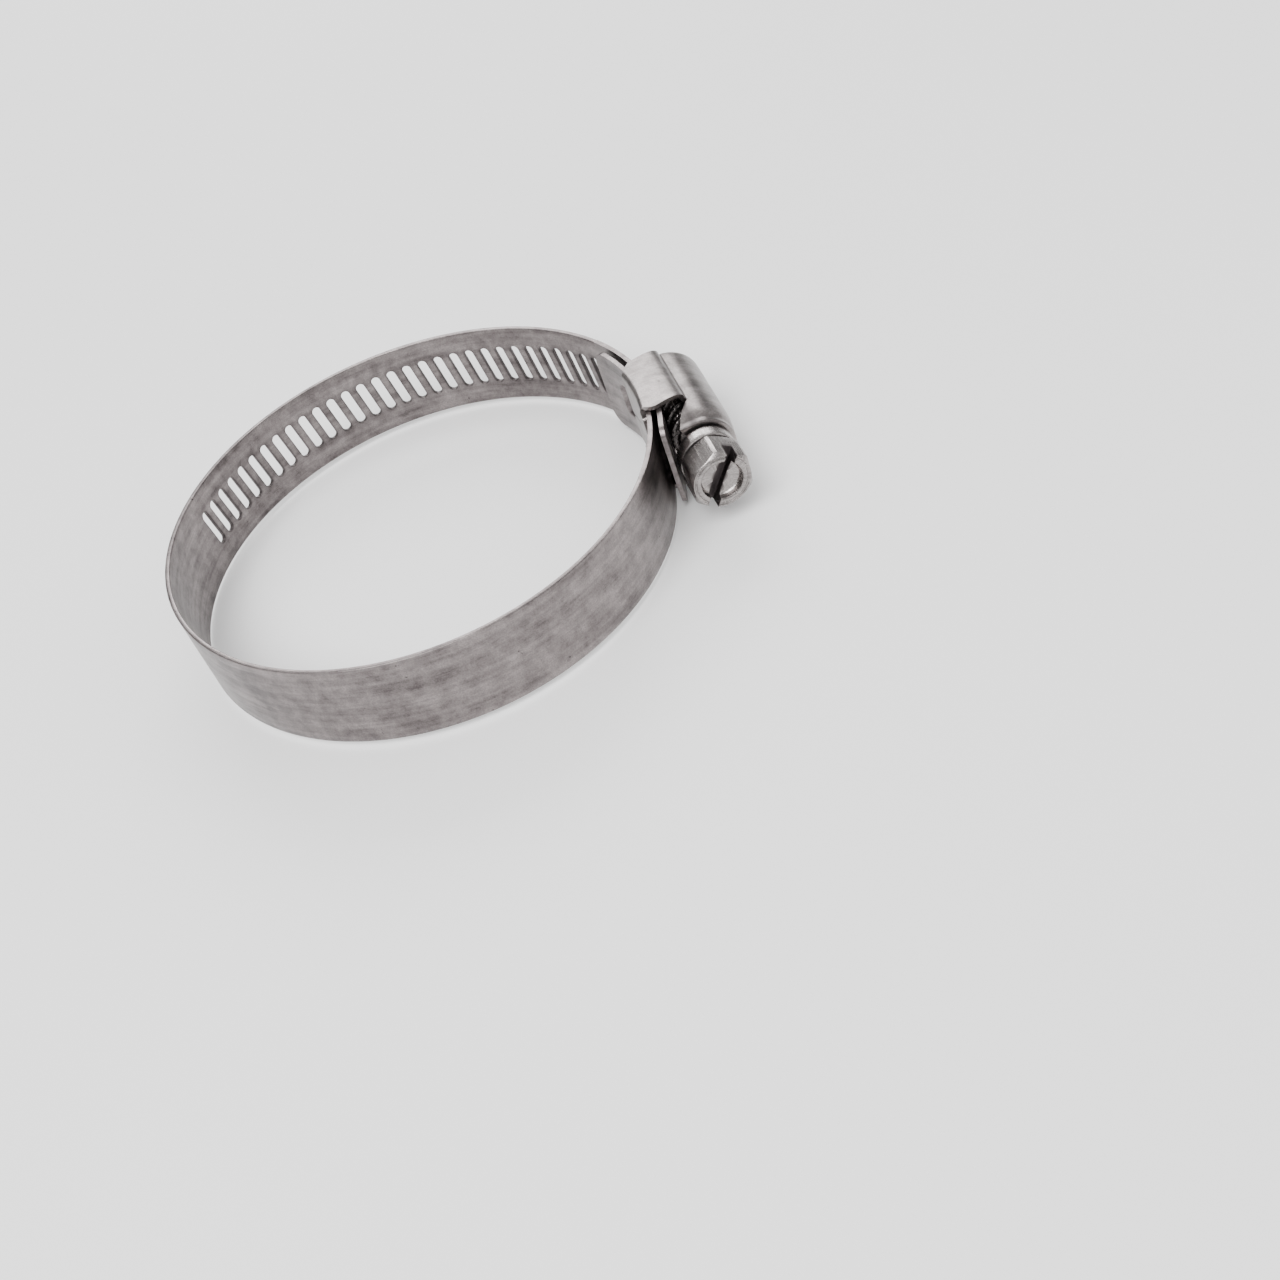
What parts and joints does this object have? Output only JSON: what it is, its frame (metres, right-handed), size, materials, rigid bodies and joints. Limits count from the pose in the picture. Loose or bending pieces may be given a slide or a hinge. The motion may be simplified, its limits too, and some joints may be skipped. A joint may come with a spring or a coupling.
{
  "type": "hose clamp",
  "caption": "Worm-drive hose clamp: a perforated steel band bent into a ring, a formed screw housing, and a slotted hexagon-head worm screw that draws the band tight.",
  "frame": {"origin": "on the axis of the largest round hose that the ring takes at rest, half way across the band's width", "axes": "+Z along the hose's axis, +X towards the housing, -Y towards the screw's head"},
  "size_m": [0.0788, 0.07, 0.0142],
  "materials": {
    "band_steel": "satin",
    "housing_steel": "satin",
    "screw_steel": "satin"
  },
  "bodies": {
    "root": {"housing": "housing_steel", "band_anchor": "band_steel"},
    "band_link_01": {"band_link_01": "band_steel"},
    "band_link_02": {"band_link_02": "band_steel"},
    "band_link_03": {"band_link_03": "band_steel"},
    "band_link_04": {"band_link_04": "band_steel"},
    "band_link_05": {"band_link_05": "band_steel"},
    "band_link_06": {"band_link_06": "band_steel"},
    "band_link_07": {"band_link_07": "band_steel"},
    "band_link_08": {"band_link_08": "band_steel"},
    "band_link_09": {"band_link_09": "band_steel"},
    "band_link_10": {"band_link_10": "band_steel"},
    "band_link_11": {"band_link_11": "band_steel"},
    "band_link_12": {"band_link_12": "band_steel"},
    "band_link_13": {"band_link_13": "band_steel"},
    "band_tail": {"band_tail": "band_steel"},
    "worm_screw": {"worm_screw": "screw_steel"}
  },
  "joints": [
    {"name": "screw_spin", "type": "hinge", "parent": "root", "child": "worm_screw", "pos_m": [0.03926, 0, 0], "axis": [0, 1, 0], "range_deg": [-360, 2160]},
    {"name": "band_bend_01", "type": "hinge", "parent": "root", "child": "band_link_01", "pos_m": [0.03248, -0.0108, 0], "axis": [0, 0, -1], "range_deg": [-0.4, 2.39]},
    {"name": "band_bend_02", "type": "hinge", "parent": "band_link_01", "child": "band_link_02", "pos_m": [0.02464, -0.02356, 0], "axis": [0, 0, -1], "range_deg": [-0.38, 2.28]},
    {"name": "band_bend_03", "type": "hinge", "parent": "band_link_02", "child": "band_link_03", "pos_m": [0.01206, -0.03167, 0], "axis": [0, 0, -1], "range_deg": [-0.37, 2.2]},
    {"name": "band_bend_04", "type": "hinge", "parent": "band_link_03", "child": "band_link_04", "pos_m": [-0.00279, -0.03357, 0], "axis": [0, 0, -1], "range_deg": [-0.36, 2.16]},
    {"name": "band_bend_05", "type": "hinge", "parent": "band_link_04", "child": "band_link_05", "pos_m": [-0.01702, -0.0289, 0], "axis": [0, 0, -1], "range_deg": [-0.36, 2.13]},
    {"name": "band_bend_06", "type": "hinge", "parent": "band_link_05", "child": "band_link_06", "pos_m": [-0.02788, -0.01859, 0], "axis": [0, 0, -1], "range_deg": [-0.35, 2.12]},
    {"name": "band_bend_07", "type": "hinge", "parent": "band_link_06", "child": "band_link_07", "pos_m": [-0.03328, -0.00463, 0], "axis": [0, 0, -1], "range_deg": [-0.35, 2.1]},
    {"name": "band_bend_08", "type": "hinge", "parent": "band_link_07", "child": "band_link_08", "pos_m": [-0.03222, 0.01031, 0], "axis": [0, 0, -1], "range_deg": [-0.35, 2.07]},
    {"name": "band_bend_09", "type": "hinge", "parent": "band_link_08", "child": "band_link_09", "pos_m": [-0.02492, 0.02338, 0], "axis": [0, 0, -1], "range_deg": [-0.34, 2.04]},
    {"name": "band_bend_10", "type": "hinge", "parent": "band_link_09", "child": "band_link_10", "pos_m": [-0.01275, 0.03213, 0], "axis": [0, 0, -1], "range_deg": [-0.34, 2.02]},
    {"name": "band_bend_11", "type": "hinge", "parent": "band_link_10", "child": "band_link_11", "pos_m": [0.00196, 0.03491, 0], "axis": [0, 0, -1], "range_deg": [-0.34, 2.03]},
    {"name": "band_bend_12", "type": "hinge", "parent": "band_link_11", "child": "band_link_12", "pos_m": [0.01648, 0.03123, 0], "axis": [0, 0, -1], "range_deg": [-0.35, 2.09]},
    {"name": "band_bend_13", "type": "hinge", "parent": "band_link_12", "child": "band_link_13", "pos_m": [0.02811, 0.02179, 0], "axis": [0, 0, -1], "range_deg": [-0.37, 2.2]},
    {"name": "band_bend_14", "type": "hinge", "parent": "band_link_13", "child": "band_tail", "pos_m": [0.03471, 0.00833, 0], "axis": [0, 0, -1], "range_deg": [-0.27, 1.6]}
  ],
  "couplings": [
    {"joint": "band_bend_01", "follows": "screw_spin", "ratio": 0.0009628},
    {"joint": "band_bend_02", "follows": "screw_spin", "ratio": 0.0009186},
    {"joint": "band_bend_03", "follows": "screw_spin", "ratio": 0.0008869},
    {"joint": "band_bend_04", "follows": "screw_spin", "ratio": 0.0008682},
    {"joint": "band_bend_05", "follows": "screw_spin", "ratio": 0.0008588},
    {"joint": "band_bend_06", "follows": "screw_spin", "ratio": 0.0008528},
    {"joint": "band_bend_07", "follows": "screw_spin", "ratio": 0.0008451},
    {"joint": "band_bend_08", "follows": "screw_spin", "ratio": 0.000834},
    {"joint": "band_bend_09", "follows": "screw_spin", "ratio": 0.0008217},
    {"joint": "band_bend_10", "follows": "screw_spin", "ratio": 0.000814},
    {"joint": "band_bend_11", "follows": "screw_spin", "ratio": 0.0008185},
    {"joint": "band_bend_12", "follows": "screw_spin", "ratio": 0.0008412},
    {"joint": "band_bend_13", "follows": "screw_spin", "ratio": 0.0008849},
    {"joint": "band_bend_14", "follows": "screw_spin", "ratio": 0.0006444}
  ]
}
